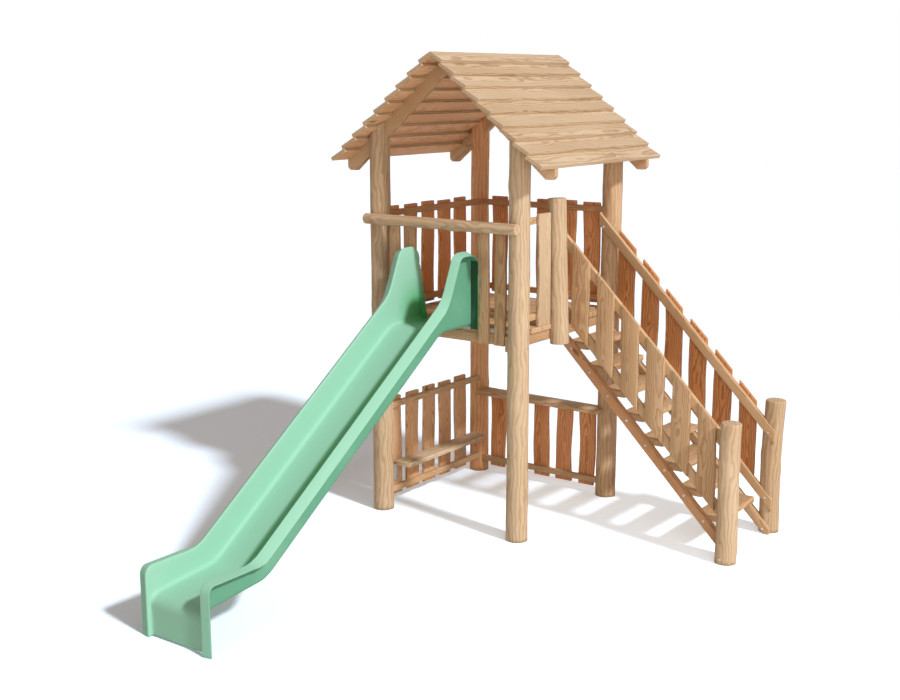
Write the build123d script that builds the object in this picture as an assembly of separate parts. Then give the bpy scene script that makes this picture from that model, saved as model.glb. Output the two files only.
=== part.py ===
from build123d import *
import math
import os

os.makedirs("parts", exist_ok=True)

# Frame: origin at the middle of the front left post's foot, X to the stair, Y to the rear, Z up.
# Lengths in millimetres, angles in degrees.

# Play in every joint between pieces
seat = 0.3

# Posts
post_spacing_x = 1210.0
post_spacing_y = 1266.0
post_dia = 150.0
post_foot_dia = 158.0
post_lean = 4.0
foot_swell = 3.0
log_taper_part = 0.3

# Deck
deck_top = 1500.0
deck_board_thick = 38.0
deck_board_count = 9
deck_board_gap = 8.0
deck_edge_overhang = 14.0
beam_depth = 75.0
beam_thick = 45.0
cleat_start = 93.0
cleat_end = 62.0
cleat_bottom = 1352.0
edge_strip_thick = 4.0
edge_strip_leg = 24.0

# Wavy boards and their rails
board_thick = 28.0
board_width = 138.0
board_wave = 5.0
rail_height = 45.0
rail_thick = 35.0
rail_seat_depth = 20.0
top_rail_top = 2265.0
bottom_rail_top = 1592.0
board_top = 2290.0
board_bottom = 1520.0
boards_per_side = 5
left_board_first = 141.0
left_board_pitch = 212.0
rear_board_first = 195.0
rear_board_pitch = 211.0
short_board_width = 150.0
short_board_y = 310.0
short_rail_reach = 10.0
board_top_step = 4.0

# Front boards beside the slide
front_board_width = 86.0
front_board_top = 2238.0
front_board_bottom = 1388.0
front_board_first = 142.0
front_board_pitch = 140.0
front_rail_top = 2236.0

# Handlebar
bar_dia = 76.0
bar_height = 2214.0
bar_overhang = 53.0
bar_saddle = 5.0

# Panels under the deck
low_top_rail_top = 820.0
low_bottom_rail_top = 160.0
low_board_top = 848.0
low_board_bottom = 78.0
rear_board_bottom = 54.0
rear_bottom_rail_top = 140.0

# Counter and bench
counter_top = 710.0
counter_thick = 36.0
counter_front = 1126.0
counter_left = 57.0
counter_overhang = 3.0
bench_top = 358.0
bench_thick = 33.0
bench_back = 40.0
bench_front = 185.0
bench_start = 82.0
bench_end = 1108.0
bracket_inset = 20.0
bracket_inset_rear = 70.0
bracket_width = 40.0
bracket_thick = 5.0
bracket_drop = 140.0

# Stair
riser = 154.0
going = 153.0
first_tread_x = 1232.0
tread_count = 8
tread_depth = 195.0
tread_thick = 45.0
stringer_depth = 59.0
stringer_thick = 58.0
newel_dia = 144.0
newel_x = 2590.0
newel_far_back = 15.0
newel_lean = 14.0
newel_near_y = 461.0
newel_far_y = 1240.0
newel_height = 975.0
stair_end_overhang = 25.0
near_let_in = 14.0
far_let_in = 26.0
far_rail_start = 1162.0
newel_top_x = 1260.0
newel_top_y = 459.0
newel_top_lean = -40.0
newel_top_dia = 132.0
newel_top_low = 1352.0
newel_top_high = 2385.0
stair_rail_depth = 66.0
stair_low_rail_depth = 62.0
stair_rail_thick = 35.0
stair_top_rail_over_deck = 662.0
stair_low_rail_over_deck = 158.0
stringer_below_deck = 58.0
picket_width = 136.0
picket_pitch = 201.0
picket_count = 6
picket_wave = 3.0
picket_first_near = 1400.0
picket_first_far = 1382.0
picket_above_rail = 27.0
picket_bottom_over_deck = 88.0

# Roof
ridge_height = 3383.0
roof_front_overhang = 198.0
roof_rear_overhang = 186.0
roof_courses = 9
course_run = 100.0
course_rise = 85.0
ridge_course_extra = 3.0
roof_board_pitch = 29.0
roof_board_thick = 26.0
roof_board_width = 144.0
rafter_thick = 40.0
rafter_depth_vertical = 138.0
rafter_below_tips = 33.0
rafter_tail_inset = 12.0
rafter_tail_drop = 97.4
rafter_tail_chamfer = 22.0
rafter_below_boards = 4.0
rafter_slot_clear = 40.0

# Slide
slide_half_width = 287.0
slide_rim_width = 57.0
slide_shell = 8.0
slide_slope = 34.8
slide_front = -2650.0
slide_tongue = 56.0
slide_rim_low = 434.0
slide_bend_y = -2240.0
slide_hood_foot = -382.0
slide_hood_front = -245.0
slide_hood_top = 2040.0
slide_hood_bend = 1900.0
slide_flange_low = 1480.0
slide_apron_inset = 28.0
slide_apron_clear = 12.0
slide_floor_low = 253.0
slide_floor_fall = 5.2
slide_floor_bend_y = -2108.0

# Slide's rim: how far it droops beside each straight of its path, and the bends' radii
rim_droops = [12.0, 8.0, 42.0, 24.0, 24.0, 0.0]
rim_radii = [60.0, 240.0, 260.0, 90.0, 100.0]
floor_radii = [70.0, 240.0, 200.0]
hood_bend_radius = 400.0

mid_x = post_spacing_x / 2
post_r = post_dia / 2
posts = {
    "post_front_left": (0.0, 0.0),
    "post_front_right": (post_spacing_x, 0.0),
    "post_rear_left": (0.0, post_spacing_y),
    "post_rear_right": (post_spacing_x, post_spacing_y),
}
nodes = {}


def block(x0, x1, y0, y1, z0, z1):
    """Straight plank or bar between two corners."""
    return Pos((x0 + x1) / 2, (y0 + y1) / 2, (z0 + z1) / 2) * Box(x1 - x0, y1 - y0, z1 - z0)


def extruded_y(points, y0, y1):
    """Flat outline in X and Z, given thickness along Y."""
    flat = Plane(origin=(0, 0, 0), x_dir=(1, 0, 0), z_dir=(0, -1, 0))
    face = flat * make_face(Polyline(*points, close=True))
    return Pos(0, y0, 0) * extrude(face, y1 - y0, dir=(0, 1, 0))


def log(length, radius, foot_radius, lean_x=0.0, lean_y=0.0):
    """Peeled round log standing at the origin: thicker at its foot and a little out of plumb."""
    taper = log_taper_part * length
    foot = Pos(0, 0, taper / 2) * Cone(foot_radius, radius, 2 * taper)
    shaft = Pos(0, 0, length) * Cylinder(radius, 2 * (length - 1.5 * taper))
    tilt = Rot(-math.degrees(math.atan(lean_y / length)), math.degrees(math.atan(lean_x / length)), 0)
    room = 4 * foot_radius
    return tilt * (foot + shaft) & block(-room, room, -room, room, 0, length)


def wavy_edge(half_width, bottom, top, wave, phase):
    """Points of one wavy long edge of a natural-edged board."""
    count = 5
    points = []
    for i in range(count + 1):
        t = i / count
        swing = wave * math.sin(phase + 4.6 * t) + 0.5 * wave * math.sin(2.1 * phase + 9.0 * t)
        points.append((half_width + swing, bottom + (top - bottom) * t))
    return points


def wavy_board(width, bottom, top, thick, wave, phase, slant=0.0):
    """Board with natural wavy edges, centred on X, its back at Y = 0, its face at Y = -thick."""
    half = width / 2
    drop = slant * half
    right = wavy_edge(half, bottom - drop, top - drop, wave, phase)
    left = [(-x, z) for x, z in wavy_edge(half, bottom + drop, top + drop, wave, phase + 2.3)]
    left.reverse()
    outline = Curve() + [
        Spline(*right),
        Line(right[-1], left[0]),
        Spline(*left),
        Line(left[-1], right[0]),
    ]
    flat = Plane(origin=(0, 0, 0), x_dir=(1, 0, 0), z_dir=(0, -1, 0))
    return extrude(flat * make_face(outline), thick, dir=(0, -1, 0))


def evenly(first, pitch, count):
    """Centres of like pieces at one pitch."""
    return [first + pitch * i for i in range(count)]


def keep(name, shape):
    nodes[name] = shape


# Deck frame, boards and the steel strip over its front edge
span_x0 = post_r - rail_seat_depth
span_x1 = post_spacing_x - post_r + rail_seat_depth
span_y0 = post_r - rail_seat_depth
span_y1 = post_spacing_y - post_r + rail_seat_depth
beam_top = deck_top - deck_board_thick - seat
beam_bottom = beam_top - beam_depth


def make_deck():
    beam = block(span_x0, span_x1, 0, beam_thick, beam_bottom, beam_top)
    cleat = block(post_spacing_x - cleat_start, post_spacing_x - cleat_end, -board_thick, -seat,
                  cleat_bottom, beam_top - seat)
    keep("deck_beam_front", Compound(children=[beam, cleat]))
    keep("deck_beam_rear", block(span_x0, span_x1, post_spacing_y - beam_thick, post_spacing_y,
                                 beam_bottom, beam_top))
    keep("deck_beam_left", block(0, beam_thick, span_y0, span_y1, beam_bottom, beam_top))
    keep("deck_beam_right", block(post_spacing_x - beam_thick, post_spacing_x, span_y0, span_y1,
                                  beam_bottom, beam_top))
    first = edge_strip_thick + seat
    last = post_spacing_y
    width = (last - first - deck_board_gap * (deck_board_count - 1)) / deck_board_count
    boards = []
    for i in range(deck_board_count):
        y0 = first + i * (width + deck_board_gap)
        x0, x1 = -deck_edge_overhang, post_spacing_x + deck_edge_overhang
        if i == 0 or i == deck_board_count - 1:
            x0, x1 = post_r + seat, post_spacing_x - post_r - seat
        boards.append(block(x0, x1, y0, y0 + width, beam_top + seat, deck_top))
    keep("deck_boards", Compound(children=boards))
    keep("deck_edge_strip", block(post_r + seat, post_spacing_x - post_r - seat,
                                  0, edge_strip_thick, deck_top - edge_strip_leg, deck_top - seat))


# Railings round the deck: boards stand outside two rails let into the posts
def railing_rails(axis, inner, outer, tops, start, end):
    rails = []
    for top in tops:
        if axis == "y":
            rails.append(block(inner, outer, start, end, top - rail_height, top))
        else:
            rails.append(block(start, end, inner, outer, top - rail_height, top))
    return Compound(children=rails)


def make_left_panels():
    rail_x = board_thick / 2 - seat
    for level, tops, low, high in (
        ("upper", (top_rail_top, bottom_rail_top), board_bottom, board_top),
        ("lower", (low_top_rail_top, low_bottom_rail_top), low_board_bottom, low_board_top),
    ):
        rails = railing_rails("y", rail_x, rail_x + rail_thick, tops, span_y0, span_y1)
        boards = []
        for i, y in enumerate(evenly(left_board_first, left_board_pitch, boards_per_side)):
            board = wavy_board(board_width, low, high + board_top_step * math.sin(3.7 * i), board_thick,
                               board_wave, 1.3 * i + len(level))
            boards.append(Pos(rail_x - seat, y, 0) * Rot(0, 0, -90) * board)
        keep("left_rails_" + level, rails)
        keep("left_boards_" + level, Compound(children=boards))


def make_rear_panels():
    rail_y = post_spacing_y - board_thick / 2 + seat
    upper = railing_rails("x", rail_y - rail_thick, rail_y, (top_rail_top, bottom_rail_top),
                          span_x0, span_x1)
    keep("rear_rails_upper", upper)
    lower = railing_rails("x", rail_y - rail_thick, rail_y, (rear_bottom_rail_top,), span_x0, span_x1)
    keep("rear_rail_lower", lower)
    counter_low = counter_top - counter_thick - seat
    for level, low, high in (("upper", board_bottom, board_top),
                             ("lower", rear_board_bottom, counter_low)):
        boards = []
        for i, x in enumerate(evenly(rear_board_first, rear_board_pitch, boards_per_side)):
            lift = board_top_step * math.sin(2.9 * i) if level == "upper" else 0.0
            board = wavy_board(board_width, low, high + lift, board_thick, board_wave, 1.7 * i + 2)
            boards.append(Pos(x, rail_y + seat, 0) * Rot(0, 0, 180) * board)
        keep("rear_boards_" + level, Compound(children=boards))


def make_front_boards():
    keep("front_rail", block(span_x0, span_x1, 0, rail_thick,
                             front_rail_top - rail_height, front_rail_top))
    for side, start, sign in (("left", 0.0, 1), ("right", post_spacing_x, -1)):
        boards = []
        for i, offset in enumerate(evenly(front_board_first, front_board_pitch, 2)):
            board = wavy_board(front_board_width, front_board_bottom, front_board_top,
                               board_thick, 0.6 * board_wave, 2.1 * i + len(side))
            boards.append(Pos(start + sign * offset, -seat, 0) * board)
        keep("front_boards_" + side, Compound(children=boards))


def bar_log(play):
    y = -post_r - bar_dia / 2 + bar_saddle
    bar = Cylinder(bar_dia / 2 + play, post_spacing_x + 2 * bar_overhang)
    return Pos(mid_x, y, bar_height) * Rot(0, 90, 0) * bar


# Counter and bench under the deck
def make_counter_and_bench():
    rail_y = post_spacing_y - board_thick / 2 + seat
    keep("counter", block(counter_left, post_spacing_x + counter_overhang, counter_front,
                          rail_y + board_thick, counter_top - counter_thick, counter_top))
    keep("bench_seat", block(bench_back, bench_front, bench_start, bench_end,
                             bench_top - bench_thick, bench_top))
    board_face = board_thick / 2 - 2 * seat
    low = bench_top - bench_thick - seat
    x0 = board_face + seat
    brackets = []
    for y in (bench_start + bracket_inset, bench_end - bracket_inset_rear - bracket_width):
        leg = block(x0, x0 + bracket_thick, y, y + bracket_width, low - bracket_drop, low)
        foot = block(x0, bench_front - bracket_inset, y, y + bracket_width,
                     low - bracket_thick, low)
        brackets.append(leg + foot)
    keep("bench_brackets", Compound(children=brackets))


# Stair: two stringers, eight treads, rails and pickets each side
stair_pitch = riser / going
stair_angle = math.degrees(math.atan(stair_pitch))
stair_start = post_spacing_x + deck_edge_overhang
newel_r = newel_dia / 2
near_plane = newel_near_y + newel_r - near_let_in
far_plane = newel_far_y - newel_r + far_let_in
stair_end = newel_x + stair_end_overhang


def sloped(x, height_at_start):
    """Height on a line that falls with the stair, from its height over the stair's head."""
    return height_at_start - (x - stair_start) * stair_pitch


def sloped_bar(x0, x1, height_at_start, depth, y0, y1):
    """Bar that follows the stair between two plumb cuts, its top on a falling line."""
    drop = depth / math.cos(math.radians(stair_angle))
    return extruded_y([
        (x0, sloped(x0, height_at_start)),
        (x1, sloped(x1, height_at_start)),
        (x1, sloped(x1, height_at_start) - drop),
        (x0, sloped(x0, height_at_start) - drop),
    ], y0, y1)


def make_stair():
    upper_rise = deck_top + stair_top_rail_over_deck
    lower_rise = deck_top + stair_low_rail_over_deck
    picket_top = upper_rise + picket_above_rail
    picket_bottom = deck_top + picket_bottom_over_deck
    ground = block(stair_start, 2 * stair_end, 0, 2 * far_plane, -deck_top, 0)
    for side, inner, sign, first, rail_start in (
        ("near", near_plane, 1, picket_first_near, stair_start + seat),
        ("far", far_plane, -1, picket_first_far, far_rail_start),
    ):
        ys = sorted((inner, inner + sign * stringer_thick))
        stringer = sloped_bar(post_spacing_x + seat, stair_end, deck_top - stringer_below_deck,
                              stringer_depth, *ys)
        keep("stair_stringer_" + side, stringer - ground)
        ys = sorted((inner, inner + sign * stair_rail_thick))
        rails = [sloped_bar(rail_start, stair_end, upper_rise, stair_rail_depth, *ys),
                 sloped_bar(rail_start, stair_end, lower_rise, stair_low_rail_depth, *ys)]
        keep("stair_rails_" + side, Compound(children=rails))
        back = inner - seat if side == "near" else inner + seat + board_thick
        pickets = []
        for i, x in enumerate(evenly(first, picket_pitch, picket_count)):
            picket = wavy_board(picket_width, sloped(x, picket_bottom), sloped(x, picket_top),
                                board_thick, picket_wave, 1.9 * i + len(side), stair_pitch)
            pickets.append(Pos(x, back, 0) * picket)
        keep("stair_pickets_" + side, Compound(children=pickets))
    treads = []
    for i in range(tread_count):
        top = deck_top - (i + 1) * riser
        x0 = first_tread_x + i * going
        treads.append(block(x0, x0 + tread_depth, near_plane + stringer_thick + seat,
                            far_plane - stringer_thick - seat, top - tread_thick, top))
    keep("stair_treads", Compound(children=treads))


# Short railing between the front right post and the stair's head
def make_stair_side_railing():
    rail_x = post_spacing_x - board_thick / 2 + seat
    rails = railing_rails("y", rail_x - rail_thick, rail_x, (top_rail_top, bottom_rail_top),
                          span_y0, newel_near_y + short_rail_reach)
    keep("short_rails", rails)
    board = wavy_board(short_board_width, deck_top + seat, board_top, board_thick, board_wave, 0.9)
    keep("short_board", Pos(rail_x + seat, short_board_y, 0) * Rot(0, 0, 90) * board)


# Roof: nine lapped courses on each slope, over two pairs of rafters
def course_tip(i):
    """Left slope's course i, counted from the eaves: its lower top corner in X and Z."""
    tip_x = course_tip_top_x() - course_run * (roof_courses - 1 - i)
    top_tip_z = ridge_height - (mid_x - course_tip_top_x()) * math.tan(math.radians(roof_board_pitch))
    return tip_x, top_tip_z - course_rise * (roof_courses - 1 - i)


def course_tip_top_x():
    return mid_x - course_run - ridge_course_extra


def roof_profile():
    a = math.radians(roof_board_pitch)
    along = (math.cos(a), math.sin(a))
    down = (math.sin(a) * roof_board_thick, -math.cos(a) * roof_board_thick)
    top, under = [], []
    for i in range(roof_courses):
        tx, tz = course_tip(i)
        low = (tx + down[0], tz + down[1])
        top += [low, (tx, tz)]
        if i < roof_courses - 1:
            ux, uz = tx + roof_board_width * along[0], tz + roof_board_width * along[1]
            under += [(ux + down[0], uz + down[1]), (ux, uz)]
    top.append((mid_x - seat / 2, ridge_height - seat / 2 * math.tan(a)))
    under.append((mid_x - seat / 2, ridge_height - roof_board_thick / math.cos(a)))
    under.reverse()
    return top + under


def make_roof():
    left = extruded_y(roof_profile(), -roof_front_overhang, post_spacing_y + roof_rear_overhang)
    keep("roof_boards_left", left)
    keep("roof_boards_right", mirrored(left))
    slope = course_rise / course_run
    eave_x, eave_z = course_tip(0)
    tail_x = eave_x + rafter_tail_inset

    def line(x, below):
        return eave_z + (x - eave_x) * slope - below

    low = rafter_below_tips + rafter_depth_vertical
    top_z = ridge_height - roof_board_thick / math.cos(math.radians(roof_board_pitch))
    top_z -= rafter_below_boards
    tail_z = eave_z - rafter_tail_drop
    foot_x = eave_x + (low - rafter_tail_drop) / slope
    top_x = eave_x + (top_z + rafter_below_tips - eave_z) / slope
    outline = [
        (tail_x, line(tail_x, rafter_below_tips)),
        (top_x, top_z),
        (mid_x - seat / 2, top_z),
        (mid_x - seat / 2, line(mid_x, low)),
        (foot_x, tail_z),
        (tail_x + rafter_tail_chamfer, tail_z),
        (tail_x, tail_z + rafter_tail_chamfer),
    ]
    for end, y in (("front", 0.0), ("rear", post_spacing_y)):
        rafter = extruded_y(outline, y - rafter_thick / 2, y + rafter_thick / 2)
        rafter = rafter - left - (Pos(0, 0, -seat) * left)
        rafter = max(rafter.solids(), key=lambda s: s.volume)
        keep("rafter_%s_left" % end, rafter)
        keep("rafter_%s_right" % end, mirrored(rafter))


def mirrored(shape):
    """The same piece on the other side of the tower's middle."""
    return mirror(shape, about=Plane.YZ.offset(mid_x))


# Slide: one moulded shell with an outward rim
def offset_path(points, distances):
    """Parallel path to the left of the way it runs, with a distance for each straight."""
    lines = []
    for (y0, z0), (y1, z1), d in zip(points, points[1:], distances):
        length = math.hypot(y1 - y0, z1 - z0)
        uy, uz = (y1 - y0) / length, (z1 - z0) / length
        lines.append((y0 - uz * d, z0 + uy * d, uy, uz))
    result = [lines[0][:2]]
    for (py, pz, uy, uz), (qy, qz, vy, vz) in zip(lines, lines[1:]):
        along = ((qy - py) * vz - (qz - pz) * vy) / (uy * vz - uz * vy)
        result.append((py + uy * along, pz + uz * along))
    uy, uz = lines[-1][2:]
    result.append((points[-1][0] - uz * distances[-1], points[-1][1] + uy * distances[-1]))
    return result


def turn_radii(points, radii, distances):
    """Radii for the parallel path: tighter inside a bend, wider outside it."""
    result = []
    for i, r in enumerate(radii):
        (y0, z0), (y1, z1), (y2, z2) = points[i], points[i + 1], points[i + 2]
        shift = (distances[i] + distances[i + 1]) / 2
        turn = (y1 - y0) * (z2 - z1) - (z1 - z0) * (y2 - y1)
        result.append(r - shift if turn > 0 else r + shift)
    return result


def path_band(points, radii, thick):
    """Closed outline of a wall of even thickness along a rounded path."""
    inward = [-thick] * (len(points) - 1)
    inner = offset_path(points, inward)
    first = FilletPolyline(*points, radius=radii)
    second = FilletPolyline(*inner, radius=turn_radii(points, radii, inward))
    ends = [Line(points[0], inner[0]), Line(points[-1], inner[-1])]
    return make_face(Curve() + [first, second] + ends)


def thick_x(face, x0, x1):
    return Pos(x0, 0, 0) * extrude(Plane.YZ * face, x1 - x0, dir=(1, 0, 0))


def slide_paths():
    slope = math.tan(math.radians(slide_slope))
    rear = -board_thick - 2 * seat
    rim = [
        (slide_front, 0.0),
        (slide_front, slide_rim_low),
        (slide_bend_y, slide_rim_low),
        (slide_hood_foot, slide_rim_low + (slide_hood_foot - slide_bend_y) * slope),
        (slide_hood_front, slide_hood_top),
        (rear, slide_hood_top),
        (rear, slide_flange_low),
    ]
    apron = slide_front + slide_apron_inset
    floor_top = deck_top + seat + slide_shell
    fall = math.tan(math.radians(slide_floor_fall))
    bend_z = slide_floor_low + (slide_floor_bend_y - apron) * fall
    floor = [
        (apron, slide_apron_clear),
        (apron, slide_floor_low),
        (slide_floor_bend_y, bend_z),
        (slide_floor_bend_y + (floor_top - bend_z) / slope, floor_top),
        (slide_tongue, floor_top),
    ]
    return rim, floor


def make_slide():
    rim, floor = slide_paths()
    wall = slide_half_width - slide_rim_width
    solid = thick_x(path_band(floor, floor_radii, slide_shell), mid_x - wall, mid_x + wall)
    inward = [-droop for droop in rim_droops]
    edge = offset_path(rim, inward)
    crest_band = Plane.YZ * path_band(rim, rim_radii, slide_shell)
    edge_band = Plane.YZ * path_band(edge, turn_radii(rim, rim_radii, inward), slide_shell)
    cheek = slide_cheek(rim, floor)
    for sign in (-1, 1):
        lip = loft([Pos(mid_x + sign * wall, 0, 0) * crest_band,
                    Pos(mid_x + sign * slide_half_width, 0, 0) * edge_band], ruled=True)
        x0, x1 = sorted((mid_x + sign * wall, mid_x + sign * (wall - slide_shell)))
        solid = solid + lip + thick_x(cheek, x0, x1)
    keep("slide", solid)


def slide_cheek(rim, floor):
    """Side wall from the rim's crest down to the underside of the floor."""
    inward = [-slide_shell] * (len(floor) - 1)
    under = offset_path(floor, inward)
    crest = rim[:-1] + [(rim[-1][0], slide_hood_bend), under[-1]]
    return make_face(Curve() + [
        FilletPolyline(*crest, radius=rim_radii + [hood_bend_radius]),
        FilletPolyline(*under, radius=turn_radii(floor, floor_radii, inward)),
        Line(under[0], (rim[0][0], under[0][1])),
        Line((rim[0][0], under[0][1]), rim[0]),
    ])


def make_posts():
    """Four round posts and three newels, cut where planks are let into them."""
    slope = course_rise / course_run
    eave_x, eave_z = course_tip(0)
    for n, (name, (x, y)) in enumerate(posts.items()):
        off = x if x < mid_x else 2 * mid_x - x
        top = eave_z + (off + post_r - eave_x) * slope
        nodes[name] = Pos(x, y, 0) * log(top, post_r, post_foot_dia / 2,
                                         post_lean * math.cos(2.1 * n), post_lean * math.sin(2.1 * n))
    for name, x, y in (("newel_near", newel_x, newel_near_y),
                       ("newel_far", newel_x - newel_far_back, newel_far_y)):
        nodes[name] = Pos(x, y, 0) * log(newel_height, newel_r, newel_r + foot_swell, newel_lean)
    top_r = newel_top_dia / 2
    nodes["newel_top"] = Pos(newel_top_x, newel_top_y, newel_top_low) * log(
        newel_top_high - newel_top_low, top_r, top_r + foot_swell, newel_top_lean)


def let_in_planks():
    """Cut each log round the planks that it carries."""
    logs = list(posts) + ["newel_near", "newel_far", "newel_top"]
    for name in logs:
        shape = nodes[name]
        box = shape.bounding_box()
        for other, member in nodes.items():
            if other in logs:
                continue
            for solid in member.solids():
                b = solid.bounding_box()
                apart = (b.min.X > box.max.X or b.max.X < box.min.X or b.min.Y > box.max.Y
                         or b.max.Y < box.min.Y or b.min.Z > box.max.Z or b.max.Z < box.min.Z)
                if not apart:
                    shape = shape - solid
                    if other.startswith("rafter"):
                        shape = shape - Pos(0, 0, rafter_slot_clear) * solid
        if name.startswith("post_front"):
            shape = shape - bar_log(seat)
        nodes[name] = max(shape.solids(), key=lambda s: s.volume)
    nodes["handlebar"] = bar_log(0.0)


make_deck()
make_left_panels()
make_rear_panels()
make_front_boards()
make_counter_and_bench()
make_stair()
make_stair_side_railing()
make_roof()
make_slide()
make_posts()
let_in_planks()
for node_name, node_shape in nodes.items():
    export_step(node_shape, "parts/%s.step" % node_name)
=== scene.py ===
import bpy
import bmesh
import math
import random
from mathutils import Matrix, Vector, noise


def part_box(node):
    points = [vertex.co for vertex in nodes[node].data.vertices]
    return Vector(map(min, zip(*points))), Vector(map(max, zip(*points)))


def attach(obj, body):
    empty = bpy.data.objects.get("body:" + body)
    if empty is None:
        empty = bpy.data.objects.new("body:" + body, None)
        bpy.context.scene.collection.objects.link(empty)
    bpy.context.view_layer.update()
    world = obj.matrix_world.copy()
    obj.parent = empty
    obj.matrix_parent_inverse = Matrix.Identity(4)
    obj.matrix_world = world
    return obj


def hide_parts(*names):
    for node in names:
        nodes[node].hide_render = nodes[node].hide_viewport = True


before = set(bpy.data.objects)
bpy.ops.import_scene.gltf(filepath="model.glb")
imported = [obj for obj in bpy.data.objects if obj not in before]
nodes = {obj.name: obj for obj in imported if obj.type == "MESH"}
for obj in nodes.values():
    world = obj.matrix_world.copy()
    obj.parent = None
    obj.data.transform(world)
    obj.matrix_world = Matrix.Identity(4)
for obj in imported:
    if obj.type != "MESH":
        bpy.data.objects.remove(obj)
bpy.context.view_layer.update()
scene = bpy.context.scene
scene.view_settings.view_transform = "Standard"
chance = random.Random(11)  # every random draw comes from here, so the order of the pieces matters
print("frame loaded:", len(nodes), "nodes")


def opaque(colour):
    return (*colour, 1)


def addNode(tree, kind, **settings):
    # nodes are laid out in rows of ten, so that the tree can be read in the editor
    column, row = len(tree.nodes) % 10, len(tree.nodes) // 10
    node = tree.nodes.new(kind)
    node.location = (220 * column, -320 * row)
    for key, value in settings.items():
        setattr(node, key, value)
    return node


def feed(tree, source, target):
    # a number or a colour is set on the socket itself, an output is linked to it
    if isinstance(source, (int, float, tuple)):
        target.default_value = source
    else:
        tree.links.new(source, target)


def mathNode(tree, operation, first, second=None, clamp=False):
    node = addNode(tree, "ShaderNodeMath", operation=operation, use_clamp=clamp)
    feed(tree, first, node.inputs[0])
    if second is not None:
        feed(tree, second, node.inputs[1])
    return node.outputs[0]


def addShare(tree, base, value, share):
    return mathNode(tree, "ADD", base, mathNode(tree, "MULTIPLY", value, share))


def mixColour(tree, factor, first, second):
    node = addNode(tree, "ShaderNodeMix", data_type="RGBA")
    for index, value in ((0, factor), (6, first), (7, second)):  # 6 and 7 are this node's two colours
        feed(tree, value, node.inputs[index])
    return node.outputs[2]


def stretched(tree, vector, scale):
    node = addNode(tree, "ShaderNodeVectorMath", operation="MULTIPLY")
    feed(tree, vector, node.inputs[0])
    node.inputs[1].default_value = scale
    return node.outputs[0]


def noiseNode(tree, vector, scale=1.0, detail=2.0):
    node = addNode(tree, "ShaderNodeTexNoise")
    node.inputs["Scale"].default_value = scale
    node.inputs["Detail"].default_value = detail
    feed(tree, vector, node.inputs["Vector"])
    return node.outputs["Fac"]


def rampNode(tree, factor, stops):
    node = addNode(tree, "ShaderNodeValToRGB")
    steps = node.color_ramp.elements
    steps.remove(steps[1])
    steps[0].position, steps[0].color = stops[0][0], opaque([stops[0][1]] * 3)
    for place, level in stops[1:]:
        steps.new(place).color = opaque([level] * 3)
    feed(tree, factor, node.inputs[0])
    return node.outputs[0]


def newGroup(name, inputs):
    # an empty group with the given inputs; each effect puts out colour, roughness and height
    tree = bpy.data.node_groups.new(name, "ShaderNodeTree")
    outputs = (("Color", "NodeSocketColor"), ("Roughness", "NodeSocketFloat"), ("Height", "NodeSocketFloat"))
    for direction, sockets in (("INPUT", inputs), ("OUTPUT", outputs)):
        for label, kind, *value in sockets:
            socket = tree.interface.new_socket(label, in_out=direction, socket_type=kind)
            if value:
                socket.default_value = value[0]
    return tree, addNode(tree, "NodeGroupInput"), addNode(tree, "NodeGroupOutput")


# the grain of all wood: stretches run along the board, across it and into it
grainLook = {
    "knotCell": (1.9, 6.5, 6.5), "knotShare": 0.3, "knotPush": 0.022,
    "knotSwirl": ((0.0, 1.0), (0.42, 0.0)), "knotCore": ((0.05, 1.0), (0.11, 0.0)), "coreDark": 0.85,
    "wander": ((1.3, 5.0, 5.0), 4.0), "ripple": ((4.6, 13.0, 13.0), 3.0),
    "ring": ((0.0, 0.0), (0.38, 0.08), (0.8, 1.0), (0.92, 0.75), (1.0, 0.0)),
    "patch": (1.0, 3.6, 3.6), "patchLift": 0.35, "heartPatch": ((0.42, 0.0), (0.66, 0.85)),
    "fibre": (9.0, 420.0, 420.0), "fibreFrom": 0.42, "fibreDark": 0.55,
    "roughness": 0.56, "fibreRough": 0.18,
    "ringHeight": 0.4, "fibreHeight": 0.5, "coreHeight": 0.6,
}


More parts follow.
